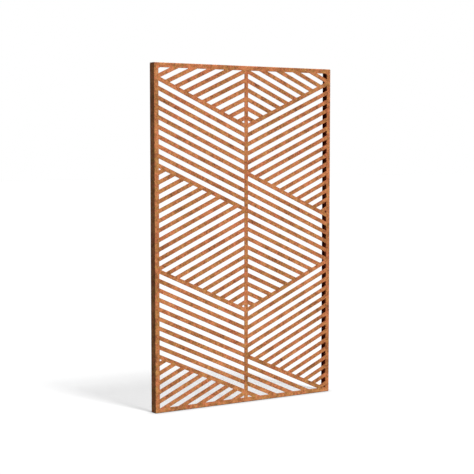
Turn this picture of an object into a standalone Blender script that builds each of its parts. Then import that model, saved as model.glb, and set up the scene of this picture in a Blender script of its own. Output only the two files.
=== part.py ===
"""A garden screen panel of weathering steel: one sheet, pierced with slanting slots and folded into a tray.

Metres, +Z up. The front face looks along -Y. X = 0 is the middle of the centre bar, Y = 0 is halfway between
the front face and the backs of the lips, and Z = 0 is the bottom edge.
"""

import math

import bmesh
import bpy
from mathutils import Matrix

# The folded sheet: a return goes back from each of the face's four edges, and a lip turns inwards from the
# return at each side.
PANEL_WIDTH = 1.120
PANEL_HEIGHT = 1.830
RETURN_DEPTH = 0.050
LIP_WIDTH = 0.018
SHEET = 0.002
FOLD_RADIUS = 0.003
FOLD_STEPS = 5
FOLD_ANGLE = math.pi / 2

# The uncut metal round and between the two columns of slots.
SIDE_BORDER = 0.025
END_BORDER = 0.025
CENTRE_BAR = 0.023

# The slats. Their width and pitch are measured up the panel, not across the slat.
SLAT_WIDTH = 0.024
SLAT_PITCH = 0.050
SLAT_SLOPE = 1 / 2.2
# How far below the top edge the middle of slat 0 meets the middle of the centre bar.
FIRST_SLAT_DEPTH = 0.325

# The way a slat runs as it leaves the centre bar.
UP = -1
DOWN = 1
# The slats turn round at certain slats, called dividers. Each zone has the number of the divider it starts at,
# the way that divider runs, and the way the slats below it run.
LEFT_ZONES = ((0, UP, UP), (9, UP, DOWN))
RIGHT_ZONES = ((0, UP, UP), (5, DOWN, DOWN))
# After this many slats the zones come again.
ZONE_REPEAT = 20

# A slot with less area than this, in square metres, isn't cut.
SMALLEST_SLOT = 30e-6
# How far the slots' cutter stands out of the sheet on each side.
CUT_OVERRUN = 0.001
WELD = 1e-6

RUST = (0.42, 0.155, 0.045, 1.0)
RUST_ROUGHNESS = 0.85
RUST_METALLIC = 0.1


def clear_scene():
    """Removes whatever the scene holds, so that a second run starts from nothing."""
    for obj in list(bpy.data.objects):
        bpy.data.objects.remove(obj)


def new_collection(name):
    collection = bpy.data.collections.new(name)
    bpy.context.scene.collection.children.link(collection)
    return collection


def rust_material():
    material = bpy.data.materials.new("weathering_steel")
    material.use_nodes = True
    shader = material.node_tree.nodes["Principled BSDF"]
    shader.inputs["Base Color"].default_value = RUST
    shader.inputs["Roughness"].default_value = RUST_ROUGHNESS
    shader.inputs["Metallic"].default_value = RUST_METALLIC
    return material


def clipped(outline, across, down, limit):
    """The part of a convex outline where across * d + down * y is at most the limit."""
    kept = []
    for start, end in zip(outline, outline[1:] + outline[:1]):
        over_start = across * start[0] + down * start[1] - limit
        over_end = across * end[0] + down * end[1] - limit
        if over_start <= 0:
            kept.append(start)
        if over_start * over_end < 0:
            share = over_start / (over_start - over_end)
            kept.append(tuple(a + share * (b - a) for a, b in zip(start, end)))
    return kept


def area(outline):
    turns = zip(outline, outline[1:] + outline[:1])
    return abs(sum(a[0] * b[1] - b[0] * a[1] for a, b in turns)) / 2


def below_slat(outline, slat, run):
    """The outline, cut to what lies under this slat."""
    lower_edge = FIRST_SLAT_DEPTH + slat * SLAT_PITCH + SLAT_WIDTH / 2
    return clipped(outline, run * SLAT_SLOPE, -1, -lower_edge)


def above_slat(outline, slat, run):
    """The outline, cut to what lies over this slat."""
    upper_edge = FIRST_SLAT_DEPTH + slat * SLAT_PITCH - SLAT_WIDTH / 2
    return clipped(outline, -run * SLAT_SLOPE, 1, upper_edge)


def column_slots(zones):
    """The slots of one column, as outlines of (distance from the centre, depth below the top edge)."""
    inner = CENTRE_BAR / 2
    outer = PANEL_WIDTH / 2 - SIDE_BORDER
    top = END_BORDER
    bottom = PANEL_HEIGHT - END_BORDER
    column = [(inner, top), (outer, top), (outer, bottom), (inner, bottom)]
    # A slat crosses this many pitches on its way over the column.
    climb = math.ceil(outer * SLAT_SLOPE / SLAT_PITCH) + 1
    first_slat = math.floor((top - FIRST_SLAT_DEPTH) / SLAT_PITCH) - climb
    last_slat = math.ceil((bottom - FIRST_SLAT_DEPTH) / SLAT_PITCH) + climb
    dividers = [
        (slat + repeat * ZONE_REPEAT, divider_run, slat_run)
        for repeat in range(first_slat // ZONE_REPEAT, last_slat // ZONE_REPEAT + 2)
        for slat, divider_run, slat_run in zones
    ]
    slots = []
    for (start, start_run, slat_run), (end, end_run, _) in zip(dividers, dividers[1:]):
        zone = above_slat(below_slat(column, start, start_run), end, end_run)
        for slat in range(start - 2 * climb, end + 2 * climb):
            slot = above_slat(below_slat(zone, slat, slat_run), slat + 1, slat_run)
            if len(slot) > 2 and area(slot) > SMALLEST_SLOT:
                slots.append(slot)
    return slots


def slot_outlines():
    """Every slot, as (x, z) points on the panel."""
    for side, zones in ((-1, LEFT_ZONES), (1, RIGHT_ZONES)):
        for slot in column_slots(zones):
            yield [(side * across, PANEL_HEIGHT - depth) for across, depth in slot]


def is_fold(edge):
    """True where the sheet is bent: round the front face, and between a side return and its lip.

    Where a top or bottom return meets a side return or a lip, the corner is welded and stays sharp.
    """
    if edge.is_boundary or edge.calc_face_angle() < FOLD_ANGLE / 2:
        return False
    normals = [face.normal for face in edge.link_faces]
    at_face = any(normal.y < -0.5 for normal in normals)
    at_end = any(abs(normal.z) > 0.5 for normal in normals)
    return at_face or not at_end


def folded_sheet(collection):
    """The sheet without its slots: a box's skin, open behind between the lips, rounded, then made thick."""
    shape = bmesh.new()
    bmesh.ops.create_cube(shape, size=1)
    bmesh.ops.scale(shape, vec=(PANEL_WIDTH, RETURN_DEPTH, PANEL_HEIGHT), verts=shape.verts)
    bmesh.ops.translate(shape, vec=(0, 0, PANEL_HEIGHT / 2), verts=shape.verts)
    lip_end = PANEL_WIDTH / 2 - LIP_WIDTH
    for side in (-1, 1):
        whole = shape.verts[:] + shape.edges[:] + shape.faces[:]
        bmesh.ops.bisect_plane(shape, geom=whole, plane_co=(side * lip_end, 0, 0), plane_no=(1, 0, 0))
    behind = [face for face in shape.faces if face.normal.y > 0.5]
    between_lips = min(behind, key=lambda face: abs(face.calc_center_median().x))
    bmesh.ops.delete(shape, geom=[between_lips], context="FACES_ONLY")
    bent = shape.edges.layers.float.new("bevel_weight_edge")
    for edge in shape.edges:
        edge[bent] = float(is_fold(edge))
    mesh = bpy.data.meshes.new("screen_panel")
    shape.to_mesh(mesh)
    shape.free()
    panel = bpy.data.objects.new("screen_panel", mesh)
    collection.objects.link(panel)
    folds = panel.modifiers.new("folds", "BEVEL")
    folds.width = FOLD_RADIUS
    folds.segments = FOLD_STEPS
    folds.limit_method = "WEIGHT"
    thickness = panel.modifiers.new("thickness", "SOLIDIFY")
    thickness.thickness = SHEET
    thickness.offset = -1
    thickness.use_even_offset = True
    thickness.use_quality_normals = True
    return panel


def slot_cutter(collection):
    """One prism for each slot, through the front face only."""
    curve = bpy.data.curves.new("slots", "CURVE")
    curve.dimensions = "2D"
    curve.fill_mode = "BOTH"
    curve.extrude = SHEET / 2 + CUT_OVERRUN
    for outline in slot_outlines():
        spline = curve.splines.new("POLY")
        spline.points.add(len(outline) - 1)
        for point, (x, z) in zip(spline.points, outline):
            point.co = (x, z, 0, 1)
        spline.use_cyclic_u = True
    guide = bpy.data.objects.new("slots_outline", curve)
    collection.objects.link(guide)
    middle_of_face = (SHEET - RETURN_DEPTH) / 2
    guide.matrix_world = Matrix.Translation((0, middle_of_face, 0)) @ Matrix.Rotation(math.pi / 2, 4, "X")
    graph = bpy.context.evaluated_depsgraph_get()
    mesh = bpy.data.meshes.new_from_object(guide.evaluated_get(graph))
    shape = bmesh.new()
    shape.from_mesh(mesh)
    bmesh.ops.remove_doubles(shape, verts=shape.verts, dist=WELD)
    bmesh.ops.recalc_face_normals(shape, faces=shape.faces)
    shape.to_mesh(mesh)
    shape.free()
    cutter = bpy.data.objects.new("slots", mesh)
    collection.objects.link(cutter)
    cutter.matrix_world = guide.matrix_world
    bpy.data.objects.remove(guide)
    cutter.hide_render = True
    cutter.display_type = "WIRE"
    return cutter


def main():
    clear_scene()
    parts = new_collection("corten_screen_panel")
    cutters = new_collection("cutters")
    panel = folded_sheet(parts)
    panel.data.materials.append(rust_material())
    cut = panel.modifiers.new("slots", "BOOLEAN")
    cut.operation = "DIFFERENCE"
    cut.solver = "EXACT"
    cut.object = slot_cutter(cutters)


main()
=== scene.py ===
"""The looks of a garden screen panel of weathering steel, on a pale floor in soft light.

Metres, in the loaded model's own frame: +Z up, and the pierced front face looks along -Y. The panel is made
again as a finer piece. It starts as a flat blank with its slots, whose cut edges and corners are eased, and
the blank is then folded into a tray. Its rust is made of shader nodes.
"""

import math

import bpy
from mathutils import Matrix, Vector
from mathutils.geometry import delaunay_2d_cdt


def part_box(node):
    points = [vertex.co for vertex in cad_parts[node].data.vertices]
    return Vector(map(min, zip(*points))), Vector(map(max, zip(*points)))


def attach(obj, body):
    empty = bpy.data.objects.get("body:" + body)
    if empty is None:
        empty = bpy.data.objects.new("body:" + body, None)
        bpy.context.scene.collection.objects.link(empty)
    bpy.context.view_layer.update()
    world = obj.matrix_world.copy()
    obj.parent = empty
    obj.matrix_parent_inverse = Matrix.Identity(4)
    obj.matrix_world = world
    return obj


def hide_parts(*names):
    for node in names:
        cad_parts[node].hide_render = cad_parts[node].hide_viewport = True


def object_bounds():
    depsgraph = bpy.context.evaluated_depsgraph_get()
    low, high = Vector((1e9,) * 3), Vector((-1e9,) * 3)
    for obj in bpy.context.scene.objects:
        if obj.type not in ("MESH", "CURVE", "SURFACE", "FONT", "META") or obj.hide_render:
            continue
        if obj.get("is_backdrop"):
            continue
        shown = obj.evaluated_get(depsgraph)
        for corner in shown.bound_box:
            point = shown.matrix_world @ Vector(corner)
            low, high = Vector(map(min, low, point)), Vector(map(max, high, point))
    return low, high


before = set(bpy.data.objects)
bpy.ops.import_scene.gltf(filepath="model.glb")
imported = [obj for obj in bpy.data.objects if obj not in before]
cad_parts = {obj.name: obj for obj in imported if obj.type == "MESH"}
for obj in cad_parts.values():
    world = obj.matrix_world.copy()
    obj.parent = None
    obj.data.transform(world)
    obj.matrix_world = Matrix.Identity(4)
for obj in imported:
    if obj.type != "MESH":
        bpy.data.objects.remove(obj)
cad_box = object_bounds()

# The panel's outer size, from the loaded model.
low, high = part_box("screen_panel")
PANEL_WIDTH = high.x - low.x
PANEL_HEIGHT = high.z - low.z
RETURN_DEPTH = high.y - low.y
FRONT = low.y

# The folded sheet: a return goes back from each of the face's four edges, and a lip turns inwards from the
# return at each side.
LIP_WIDTH = 0.018
SHEET = 0.002
FOLD_RADIUS = 0.003
FOLD_STEPS = 8

# The uncut metal round and between the two columns of slots.
SIDE_BORDER = 0.025
END_BORDER = 0.025
CENTRE_BAR = 0.023

# The slats. Their width and pitch are measured up the panel, not across the slat.
SLAT_WIDTH = 0.024
SLAT_PITCH = 0.050
SLAT_SLOPE = 1 / 2.2
# How far below the top edge the middle of slat 0 meets the middle of the centre bar.
FIRST_SLAT_DEPTH = 0.325

# The way a slat runs as it leaves the centre bar.
UP = -1
DOWN = 1
# Each zone of slats has the number of the divider it starts at, the way that divider runs, and the way the
# slats below it run.
LEFT_ZONES = ((0, UP, UP), (9, UP, DOWN))
RIGHT_ZONES = ((0, UP, UP), (5, DOWN, DOWN))
# After this many slats the zones come again.
ZONE_REPEAT = 20
# A slot with less area than this, in square metres, isn't cut.
SMALLEST_SLOT = 30e-6

# The outer skin, from the middle of the face to the right up to a lip's end, and upwards to the back of the
# top return: straight stretches, with a quarter turn of FOLD_RADIUS after each but the last.
SIDE_STRETCHES = (PANEL_WIDTH / 2 - FOLD_RADIUS, RETURN_DEPTH - 2 * FOLD_RADIUS, LIP_WIDTH - FOLD_RADIUS)
END_STRETCHES = (PANEL_HEIGHT / 2 - FOLD_RADIUS, RETURN_DEPTH - FOLD_RADIUS)
QUARTER_TURN = math.pi / 2
FOLD_LENGTH = FOLD_RADIUS * QUARTER_TURN
# Where the folds meet at a corner of the face, the blank is cut back this far past their ends.
RELIEF = 0.0003

# The cut edges: the radius that rust and handling have given them, and how far in from them their fresher
# rust reaches.
EDGE_RADIUS = 0.00035
EDGE_STEPS = 3
SLOT_RIM = 0.004
BLANK_RIM = 0.001

# The radii of the slots' corners, of the blank's free corners and of its notches' corners.
SLOT_CORNER = 0.0006
FREE_CORNER = 0.0012
NOTCH_CORNER = 0.00025
CORNER_STEPS = 3
# An outline runs straight on where it turns by less than this angle.
STRAIGHT = 1e-5
# How the skins are filled with triangles: only inside the blank's outline, and without joining points that
# are further apart than this.
INSIDE_ONLY = 1
JOIN_DISTANCE = 1e-7

# The camera. Its heading is measured from +Y towards +X.
CAMERA_PLACE = (-3.488, -5.549, 1.393)
CAMERA_PITCH = math.radians(-4.252)
CAMERA_HEADING = math.radians(31.83)
CAMERA_LENS_MM = 91.56
SENSOR_MM = 36.0

# The lights. Each lamp is far away, and is given by the way from the panel to it. The key light is a tall
# one, made of three lamps over one another that share its strength.
KEY_FROM = ((0.135, -0.70, 1.83), (0.173, -0.90, 1.83), (0.212, -1.10, 1.83))
KEY_STRENGTH = 7.9
KEY_ANGLE = math.radians(8)
FILL_FROM = (-1.0, 0.0, 0.35)
FILL_STRENGTH = 0.88
FILL_ANGLE = math.radians(2)
FILL_COLOR = (0.8, 0.88, 1.0)
BACK_FROM = (0.6, 1.0, 0.7)
BACK_STRENGTH = 1.5
BACK_ANGLE = math.radians(60)
# The even light from all round.
AMBIENT = 0.03
WHITE = (1.0, 1.0, 1.0, 1.0)

# The floor: the share of the lamps' light that it gives back, the even light that it has of its own, and
# how far from the panel's foot that light is dimmed.
FLOOR_COLOR = (0.178, 0.178, 0.178, 1.0)
FLOOR_GLOW = 0.58
FOOT_SHADE = 0.05
FLOOR_SIZE = 80.0

# The layers of the rust's noises: the size of a feature, and the layer's share. The shares come to 1.
TONE_LAYERS = ((0.2, 0.12), (0.045, 0.22), (0.013, 0.26), (0.0045, 0.25), (0.0016, 0.15))
HUE_LAYERS = ((0.17, 0.25), (0.022, 0.45), (0.009, 0.3))
# How far the noises are moved, so that the hue's doesn't follow the tone's.
TONE_SHIFT = (8.3, 2.2, 5.9)
HUE_SHIFT = (7.0, 3.0, 5.0)
# How many finer noises each layer adds to itself, and how strong each one is beside the one before.
LAYER_DETAIL = (4, 0.6)
# Two noises of their own, for the roughness and the relief: the size of a feature, and the detail as above.
SPECKS = (0.0045, 3, 0.65)
GRAIN = (0.0012, 3, 0.7)
# The colours that the rust goes through from its darkest tone to its lightest, where it is redder and where
# it is yellower. The mean tone is at 0.5.
REDDISH = ((0.4, (0.13, 0.037, 0.017)), (0.5, (0.468, 0.134, 0.053)), (0.59, (0.7, 0.229, 0.103)))
OCHRE = ((0.4, (0.112, 0.045, 0.014)), (0.5, (0.382, 0.168, 0.044)), (0.59, (0.58, 0.278, 0.089)))
# Where the hue's noise starts and stops changing the colour.
HUE_ENDS = (0.415, 0.585)
# The fresher rust along the cut edges, and how far it covers the older rust.
RIM_COLOR = (0.33, 0.082, 0.025, 1.0)
RIM_SHARE = 0.7
# What the rust's colour is multiplied by on the inner skin: sheltered rust, and painted shade inside the
# tray.
SHELTER_AND_SHADE_TINT = (0.85, 0.52, 0.38, 1.0)
# Painted shade where the surface faces up, to hold back the strong key light from above: what the colour is
# multiplied by there, and the upward part of the surface's normal where that starts and where it is full.
UP_FACING_SHADE_TINT = (0.5, 0.53, 0.58, 1.0)
UP_FACING_SHADE_SLOPES = (0.3, 0.95)
# Where the specks' noise starts and stops changing the roughness, and the roughness there.
SPECK_ENDS = (0.3, 0.7)
ROUGHNESS = (0.92, 0.74)
# How much the rust shines, which is less than most surfaces do.
SPECULAR_LEVEL = 0.25
# The relief that is too fine for the mesh: how much grain it has for each part of specks, its strength and
# its height.
GRAIN_SHARE = 0.6
BUMP_STRENGTH = 0.5
BUMP_HEIGHT = 0.0012


def clipped(outline, across, down, limit):
    """The part of a convex outline where across * d + down * y is at most the limit."""
    kept = []
    for start, end in zip(outline, outline[1:] + outline[:1]):
        over_start = across * start[0] + down * start[1] - limit
        over_end = across * end[0] + down * end[1] - limit
        if over_start <= 0:
            kept.append(start)
        if over_start * over_end < 0:
            share = over_start / (over_start - over_end)
            kept.append(tuple(a + share * (b - a) for a, b in zip(start, end)))
    return kept


def signed_area(outline):
    """The area inside an outline, positive where the outline runs anticlockwise."""
    turns = zip(outline, outline[1:] + outline[:1])
    return sum(a[0] * b[1] - b[0] * a[1] for a, b in turns) / 2


def below_slat(outline, slat, run):
    """The outline, cut to what lies under this slat."""
    lower_edge = FIRST_SLAT_DEPTH + slat * SLAT_PITCH + SLAT_WIDTH / 2
    return clipped(outline, run * SLAT_SLOPE, -1, -lower_edge)


def above_slat(outline, slat, run):
    """The outline, cut to what lies over this slat."""
    upper_edge = FIRST_SLAT_DEPTH + slat * SLAT_PITCH - SLAT_WIDTH / 2
    return clipped(outline, -run * SLAT_SLOPE, 1, upper_edge)


def column_slots(zones):
    """The slots of one column, as outlines of (distance from the centre, depth below the top edge)."""
    inner = CENTRE_BAR / 2
    outer = PANEL_WIDTH / 2 - SIDE_BORDER
    top = END_BORDER
    bottom = PANEL_HEIGHT - END_BORDER
    column = [(inner, top), (outer, top), (outer, bottom), (inner, bottom)]
    # A slat crosses this many pitches on its way over the column.
    climb = math.ceil(outer * SLAT_SLOPE / SLAT_PITCH) + 1
    first_slat = math.floor((top - FIRST_SLAT_DEPTH) / SLAT_PITCH) - climb
    last_slat = math.ceil((bottom - FIRST_SLAT_DEPTH) / SLAT_PITCH) + climb
    dividers = [
        (slat + repeat * ZONE_REPEAT, divider_run, slat_run)
        for repeat in range(first_slat // ZONE_REPEAT, last_slat // ZONE_REPEAT + 2)
        for slat, divider_run, slat_run in zones
    ]
    slots = []
    for (start, start_run, slat_run), (end, end_run, _) in zip(dividers, dividers[1:]):
        zone = above_slat(below_slat(column, start, start_run), end, end_run)
        for slat in range(start - 2 * climb, end + 2 * climb):
            slot = above_slat(below_slat(zone, slat, slat_run), slat + 1, slat_run)
            if len(slot) > 2 and abs(signed_area(slot)) > SMALLEST_SLOT:
                slots.append(slot)
    return slots


def slot_outlines():
    """Every slot, as anticlockwise (across, rise, corner radius) points on the blank."""
    for side, zones in ((-1, LEFT_ZONES), (1, RIGHT_ZONES)):
        for slot in column_slots(zones):
            outline = [(side * across, PANEL_HEIGHT / 2 - depth, SLOT_CORNER) for across, depth in slot]
            yield outline if signed_area(outline) > 0 else outline[::-1]


def blank_length(stretches):
    """How far the flat blank reaches from the middle of the face."""
    return sum(stretches) + FOLD_LENGTH * (len(stretches) - 1)


def skin_at(distance, stretches):
    """Where a point of the outer skin goes when the blank is folded, and the sheet's heading there.

    Distance is measured along the skin from the middle of the face. The place is (distance from the middle,
    y), and the heading is an angle, 0 on the face.
    """
    out = 0.0
    y = FRONT
    left = distance
    for turns, stretch in enumerate(stretches):
        heading = turns * QUARTER_TURN
        step = min(left, stretch)
        out += step * math.cos(heading)
        y += step * math.sin(heading)
        left -= step
        if left <= 0:
            return out, y, heading
        bend = min(left / FOLD_RADIUS, QUARTER_TURN)
        out += FOLD_RADIUS * (math.sin(heading + bend) - math.sin(heading))
        y += FOLD_RADIUS * (math.cos(heading) - math.cos(heading + bend))
        left -= FOLD_LENGTH
        if left <= 0:
            return out, y, heading + bend
    return out, y, heading


def folded(point, normal):
    """A point of the blank, and the normal there, once the sheet is folded.

    Both are (across, rise, depth), measured from the middle of the face, with depth from the outer skin in.
    """
    across, rise, depth = point
    at_end = abs(rise) > END_STRETCHES[0]
    distance, stretches = (rise, END_STRETCHES) if at_end else (across, SIDE_STRETCHES)
    side = math.copysign(1, distance)
    out, y, heading = skin_at(abs(distance), stretches)
    axes = [Vector((1, 0, 0)), Vector((0, 0, 1))]
    if at_end:
        axes.reverse()
    bent, straight = axes
    along = side * math.sin(heading) * Vector((0, 1, 0)) + math.cos(heading) * bent
    inwards = math.cos(heading) * Vector((0, 1, 0)) - side * math.sin(heading) * bent
    middle = Vector((0, y, low.z + PANEL_HEIGHT / 2))
    place = middle + side * out * bent + (across if at_end else rise) * straight + depth * inwards
    turned, kept = (normal[1], normal[0]) if at_end else (normal[0], normal[1])
    return place, turned * along + kept * straight + normal[2] * inwards


def fold_lines(stretches):
    """The distances from the middle of the face where the folded skin has an edge."""
    lines = []
    start = 0.0
    for stretch in stretches[:-1]:
        start += stretch
        lines += [start + FOLD_LENGTH * step / FOLD_STEPS for step in range(FOLD_STEPS + 1)]
        start += FOLD_LENGTH
    return lines


def way(angle):
    """The unit vector that points at an angle."""
    return Vector((math.cos(angle), math.sin(angle)))


def rounded(outline):
    """An anticlockwise outline of (across, rise, corner radius) points, as (point, way out) pairs.

    A corner gives the stops of its arc, and a point where the outline runs straight on gives itself.
    """
    corners = [Vector(point[:2]) for point in outline]
    edges = [after - here for here, after in zip(corners, corners[1:] + corners[:1])]
    facings = [math.atan2(-edge.x, edge.y) for edge in edges]
    pairs = []
    for corner, (_, _, radius), before, after in zip(corners, outline, facings[-1:] + facings, facings):
        turn = math.remainder(after - before, math.tau)
        if abs(turn) < STRAIGHT:
            pairs.append((corner, way(after)))
            continue
        reach = math.copysign(radius, turn)
        centre = corner - reach / math.cos(turn / 2) * way(before + turn / 2)
        for step in range(CORNER_STEPS + 1):
            out = way(before + turn * step / CORNER_STEPS)
            pairs.append((centre + reach * out, out))
    return pairs


def edge_levels(rim):
    """The way over a cut edge from the outer skin to the inner one: (distance into the metal, depth, tilt).

    The tilt is 0 where the surface faces as the outer skin does, and a quarter turn on the cut itself.
    """
    levels = [(rim, 0.0, 0.0)]
    for step in range(EDGE_STEPS + 1):
        tilt = QUARTER_TURN * step / EDGE_STEPS
        levels.append((EDGE_RADIUS * (1 - math.sin(tilt)), EDGE_RADIUS * (1 - math.cos(tilt)), tilt))
    return levels + [(into, SHEET - depth, math.pi - tilt) for into, depth, tilt in reversed(levels)]


class Blank:
    """The flat blank as it is being made.

    It holds points and normals as (across, rise, depth), how near each point is to a cut edge, and faces. A
    ring is a cut edge's way round: the number of its first point, and how many points it has at each level.
    """

    def __init__(self):
        self.points = []
        self.normals = []
        self.rims = []
        self.faces = []
        self.rings = []

    def add_edge(self, pairs, rim, outwards):
        """Adds a cut edge round an outline of (point, way out) pairs.

        The rim is how far the edge's rust reaches into the metal. Outwards is 1 where the metal lies outside
        the outline, and -1 where it lies inside.
        """
        count = len(pairs)
        levels = edge_levels(rim)
        first = len(self.points)
        for into, depth, tilt in levels:
            for point, out in pairs:
                place = point + outwards * into * out
                facing = -outwards * math.sin(tilt) * out
                self.points.append((place.x, place.y, depth))
                self.normals.append((facing.x, facing.y, -math.cos(tilt)))
                self.rims.append(0.0 if into == rim else 1.0)
        for level in range(len(levels) - 1):
            for index in range(count):
                here = first + level * count + index
                after = first + level * count + (index + 1) % count
                face = (here, after, after + count, here + count)
                self.faces.append(face if outwards > 0 else face[::-1])
        self.rings.append((first, count))

    def add_skins(self, lines):
        """Fills both skins between the cut edges. No face of a skin crosses a line, a pair of points."""
        last_level = len(edge_levels(0)) - 1
        flat = []
        edges = []
        owner = []
        outer_points = []
        inner_points = []
        for ring, (first, count) in enumerate(self.rings):
            start = len(flat)
            flat += [Vector(self.points[first + index][:2]) for index in range(count)]
            edges += [(start + index, start + (index + 1) % count) for index in range(count)]
            owner += [ring] * count
            outer_points += range(first, first + count)
            inner_points += range(first + last_level * count, first + (last_level + 1) * count)
        position = {point: index for index, point in enumerate(outer_points)}
        edges += [(position[a], position[b]) for a, b in lines]
        _, _, triangles, sources, _, _ = delaunay_2d_cdt(flat, edges, [], INSIDE_ONLY, JOIN_DISTANCE)
        for triangle in triangles:
            corners = [sources[corner][0] for corner in triangle]
            rings = {owner[corner] for corner in corners}
            # A triangle with all its corners on one slot's ring lies in the open slot. Ring 0 is the
            # blank's own.
            if len(rings) == 1 and rings != {0}:
                continue
            if signed_area([flat[corner] for corner in corners]) < 0:
                corners.reverse()
            self.faces.append([outer_points[corner] for corner in corners])
            self.faces.append([inner_points[corner] for corner in reversed(corners)])


def blank_quarter(side_lines, end_lines):
    """The blank's outline in its upper right quarter, anticlockwise: the side strip's end, then the flange.

    Its points are (across, rise, corner radius).
    """
    strip_end = end_lines[0] - RELIEF
    notch = side_lines[0] - RELIEF
    flange_start = end_lines[-1] + RELIEF
    return [
        (blank_length(SIDE_STRETCHES), strip_end, FREE_CORNER),
        *((line, strip_end, 0) for line in reversed(side_lines)),
        (notch, strip_end, NOTCH_CORNER),
        *((notch, line, 0) for line in end_lines),
        (notch, flange_start, NOTCH_CORNER),
        (PANEL_WIDTH / 2, flange_start, FREE_CORNER),
        (PANEL_WIDTH / 2, blank_length(END_STRETCHES), FOLD_RADIUS),
    ]


def cut_blank():
    """The blank with its slots, still flat."""
    blank = Blank()
    side_lines = fold_lines(SIDE_STRETCHES)
    end_lines = fold_lines(END_STRETCHES)
    upper_right = blank_quarter(side_lines, end_lines)
    upper_left = [(-across, rise, radius) for across, rise, radius in reversed(upper_right)]
    upper = upper_right + upper_left
    pairs = rounded(upper + [(-across, -rise, radius) for across, rise, radius in upper])
    blank.add_edge(pairs, BLANK_RIM, -1)
    for slot in slot_outlines():
        blank.add_edge(rounded(slot), SLOT_RIM, 1)
    # Each quarter of the outline has a corner, the ends of the side fold lines, a corner, the ends of the
    # end fold lines and three corners. The next quarter has the same points the other way round.
    quarter = len(pairs) // 4
    corner = CORNER_STEPS + 1
    first_side = corner
    first_end = 2 * corner + len(side_lines)
    lines = []
    for index in range(first_side, first_side + len(side_lines)):
        lines += [(index, 4 * quarter - 1 - index), (2 * quarter - 1 - index, 2 * quarter + index)]
    for index in range(first_end, first_end + len(end_lines)):
        lines += [(index, 2 * quarter - 1 - index), (2 * quarter + index, 4 * quarter - 1 - index)]
    blank.add_skins(lines)
    return blank


def panel_piece():
    """The folded panel as a mesh, with its exact normals.

    Its point attributes are rim, from 0 to 1 on a cut edge, and inner, from 0 on the outer skin to 1 on the
    inner one.
    """
    blank = cut_blank()
    places, normals = zip(*(folded(*pair) for pair in zip(blank.points, blank.normals)))
    mesh = bpy.data.meshes.new("rusted_panel")
    mesh.from_pydata(places, [], blank.faces)
    mesh.shade_smooth()
    mesh.normals_split_custom_set_from_vertices([tuple(normal) for normal in normals])
    rims = mesh.attributes.new("rim", "FLOAT", "POINT")
    rims.data.foreach_set("value", blank.rims)
    inner = mesh.attributes.new("inner", "FLOAT", "POINT")
    inner.data.foreach_set("value", [depth / SHEET for _, _, depth in blank.points])
    piece = bpy.data.objects.new("rusted_panel", mesh)
    bpy.context.scene.collection.objects.link(piece)
    return piece


def add_node(tree, kind, inputs, **settings):
    """Adds a node. Each input, by name or number, is either linked to a socket or set to a value."""
    node = tree.nodes.new(kind)
    for name, value in settings.items():
        setattr(node, name, value)
    for name, value in inputs.items():
        if isinstance(value, bpy.types.NodeSocket):
            tree.links.new(value, node.inputs[name])
        else:
            node.inputs[name].default_value = value
    return node


def noise(tree, place, size, detail, roughness):
    """A noise from 0 to 1 with features of this size."""
    inputs = {"Vector": place, "Scale": 1 / size, "Detail": detail, "Roughness": roughness}
    return add_node(tree, "ShaderNodeTexNoise", inputs).outputs[0]


def layered(tree, place, shift, layers):
    """A sum of noises, from (feature size, share) pairs, moved by a shift."""
    moved = add_node(tree, "ShaderNodeVectorMath", {0: place, 1: shift}).outputs[0]
    total = 0.0
    for size, share in layers:
        part = arithmetic(tree, "MULTIPLY", noise(tree, moved, size, *LAYER_DETAIL), share)
        total = arithmetic(tree, "ADD", part, total)
    return total


def attribute(tree, name):
    """A number that the mesh holds at each point."""
    return add_node(tree, "ShaderNodeAttribute", {}, attribute_name=name).outputs["Fac"]


def arithmetic(tree, operation, first, second):
    """The result of an operation on two numbers."""
    return add_node(tree, "ShaderNodeMath", {0: first, 1: second}, operation=operation).outputs[0]


def remapped(tree, value, low_in, high_in, low_out, high_out):
    """A number moved from one range to another, which it doesn't leave."""
    ends = {"From Min": low_in, "From Max": high_in, "To Min": low_out, "To Max": high_out}
    return add_node(tree, "ShaderNodeMapRange", {"Value": value, **ends}).outputs[0]


def mixed(tree, amount, first, second, blend="MIX"):
    """One colour laid over another by an amount."""
    # A Mix node has its colours at the inputs 6 and 7 and the output 2.
    inputs = {0: amount, 6: first, 7: second}
    return add_node(tree, "ShaderNodeMix", inputs, data_type="RGBA", blend_type=blend).outputs[2]


def ramp(tree, value, stops):
    """A colour that goes through (position, colour) stops."""
    node = add_node(tree, "ShaderNodeValToRGB", {0: value})
    elements = node.color_ramp.elements
    # The ramp already has an element at each end.
    for position, _ in stops[1:-1]:
        elements.new(position)
    for element, (position, color) in zip(elements, stops):
        element.position = position
        element.color = (*color, 1)
    return node.outputs[0]


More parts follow.
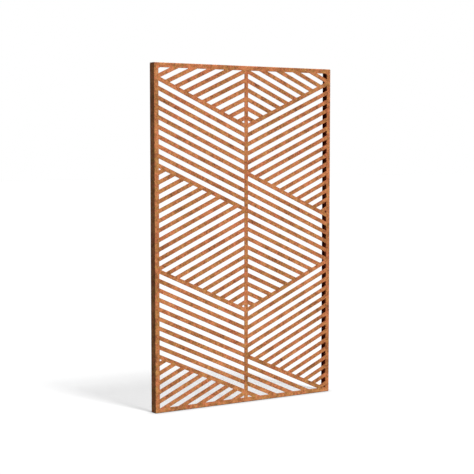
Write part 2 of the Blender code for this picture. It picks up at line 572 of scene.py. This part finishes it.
def rust_material():
    """Rust of changing tone and hue, with rims, specks, grain and painted shade inside the tray and on faces
    that look up.
    """
    material = bpy.data.materials.new("weathering_steel")
    material.use_nodes = True
    tree = material.node_tree
    shader = tree.nodes["Principled BSDF"]
    coordinates = add_node(tree, "ShaderNodeTexCoord", {})
    place = coordinates.outputs["Object"]
    upwards = add_node(tree, "ShaderNodeSeparateXYZ", {0: coordinates.outputs["Normal"]}).outputs["Z"]

    tone = layered(tree, place, TONE_SHIFT, TONE_LAYERS)
    hue = layered(tree, place, HUE_SHIFT, HUE_LAYERS)
    yellowness = remapped(tree, hue, *HUE_ENDS, 0, 1)
    specks = noise(tree, place, *SPECKS)
    grain = noise(tree, place, *GRAIN)

    color = mixed(tree, yellowness, ramp(tree, tone, REDDISH), ramp(tree, tone, OCHRE))
    rim = arithmetic(tree, "MULTIPLY", attribute(tree, "rim"), RIM_SHARE)
    color = mixed(tree, rim, color, RIM_COLOR)
    # Painted shade inside the tray, laid over its more sheltered rust.
    color = mixed(tree, attribute(tree, "inner"), color, SHELTER_AND_SHADE_TINT, "MULTIPLY")
    # Painted shade on the faces that look up, where the key light falls most strongly.
    up_facing_shade = remapped(tree, upwards, *UP_FACING_SHADE_SLOPES, 0, 1)
    color = mixed(tree, up_facing_shade, color, UP_FACING_SHADE_TINT, "MULTIPLY")
    tree.links.new(color, shader.inputs["Base Color"])

    roughness = remapped(tree, specks, *SPECK_ENDS, *ROUGHNESS)
    tree.links.new(roughness, shader.inputs["Roughness"])
    shader.inputs["Metallic"].default_value = 0.0
    shader.inputs["Specular IOR Level"].default_value = SPECULAR_LEVEL
    relief = arithmetic(tree, "ADD", specks, arithmetic(tree, "MULTIPLY", grain, GRAIN_SHARE))
    inputs = {"Height": relief, "Strength": BUMP_STRENGTH, "Distance": BUMP_HEIGHT}
    tree.links.new(add_node(tree, "ShaderNodeBump", inputs).outputs[0], shader.inputs["Normal"])
    return material


def add_lamp(name, way_to, strength, angle, color=(1.0, 1.0, 1.0)):
    """A far lamp of soft light. Its angle is how wide it looks from the panel."""
    lamp = bpy.data.lights.new(name, "SUN")
    lamp.energy = strength
    lamp.color = color
    lamp.angle = angle
    holder = bpy.data.objects.new(name, lamp)
    holder.rotation_euler = Vector(way_to).to_track_quat("Z", "Y").to_euler()
    bpy.context.scene.collection.objects.link(holder)


def add_lamps():
    """The key light from above the front, a low one from the left, and a wide one from behind."""
    for way_to in KEY_FROM:
        add_lamp("key", way_to, KEY_STRENGTH / len(KEY_FROM), KEY_ANGLE)
    add_lamp("fill", FILL_FROM, FILL_STRENGTH, FILL_ANGLE, FILL_COLOR)
    add_lamp("back", BACK_FROM, BACK_STRENGTH, BACK_ANGLE)


def add_world():
    """A white surround for the camera, and a dim even light for the panel."""
    world = bpy.data.worlds.new("studio")
    world.use_nodes = True
    bpy.context.scene.world = world
    tree = world.node_tree
    background = tree.nodes["Background"]
    background.inputs["Color"].default_value = WHITE
    seen = add_node(tree, "ShaderNodeLightPath", {}).outputs["Is Camera Ray"]
    tree.links.new(remapped(tree, seen, 0, 1, AMBIENT, 1), background.inputs["Strength"])


def floor_material():
    """A matt floor, whose own even light is dimmed close to the panel's foot."""
    material = bpy.data.materials.new("floor")
    material.use_nodes = True
    tree = material.node_tree
    shader = tree.nodes["Principled BSDF"]
    shader.inputs["Base Color"].default_value = FLOOR_COLOR
    shader.inputs["Roughness"].default_value = 1.0
    shader.inputs["Specular IOR Level"].default_value = 0.0
    shader.inputs["Emission Color"].default_value = WHITE
    openness = add_node(tree, "ShaderNodeAmbientOcclusion", {"Distance": FOOT_SHADE}).outputs["AO"]
    glow = arithmetic(tree, "MULTIPLY", openness, FLOOR_GLOW)
    tree.links.new(glow, shader.inputs["Emission Strength"])
    return material


def add_floor():
    """A pale floor that takes the panel's shadow, but throws no light back up at it."""
    mesh = bpy.data.meshes.new("floor")
    reach = FLOOR_SIZE / 2
    corners = [(reach * x, reach * y, low.z) for x, y in ((-1, -1), (1, -1), (1, 1), (-1, 1))]
    mesh.from_pydata(corners, [], [(0, 1, 2, 3)])
    mesh.materials.append(floor_material())
    floor = bpy.data.objects.new("floor", mesh)
    bpy.context.scene.collection.objects.link(floor)
    floor.visible_diffuse = False
    floor.visible_glossy = False
    floor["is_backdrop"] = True


def add_camera():
    """The camera at the photograph's viewing angle, level from side to side."""
    camera = bpy.data.objects.new("camera", bpy.data.cameras.new("camera"))
    camera.data.sensor_width = SENSOR_MM
    camera.data.lens = CAMERA_LENS_MM
    camera.data.clip_end = 2 * FLOOR_SIZE
    camera.location = CAMERA_PLACE
    camera.rotation_euler = (math.pi / 2 + CAMERA_PITCH, 0, -CAMERA_HEADING)
    bpy.context.scene.collection.objects.link(camera)
    bpy.context.scene.camera = camera


def main():
    bpy.context.scene.view_settings.view_transform = "Standard"
    add_camera()
    add_world()
    add_lamps()
    add_floor()
    panel = panel_piece()
    panel.data.materials.append(rust_material())
    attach(panel, "root")
    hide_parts("screen_panel")


main()
visual_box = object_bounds()
boxes = {"cad": cad_box, "visual": visual_box}
{name: [list(corner) for corner in box] for name, box in boxes.items()}
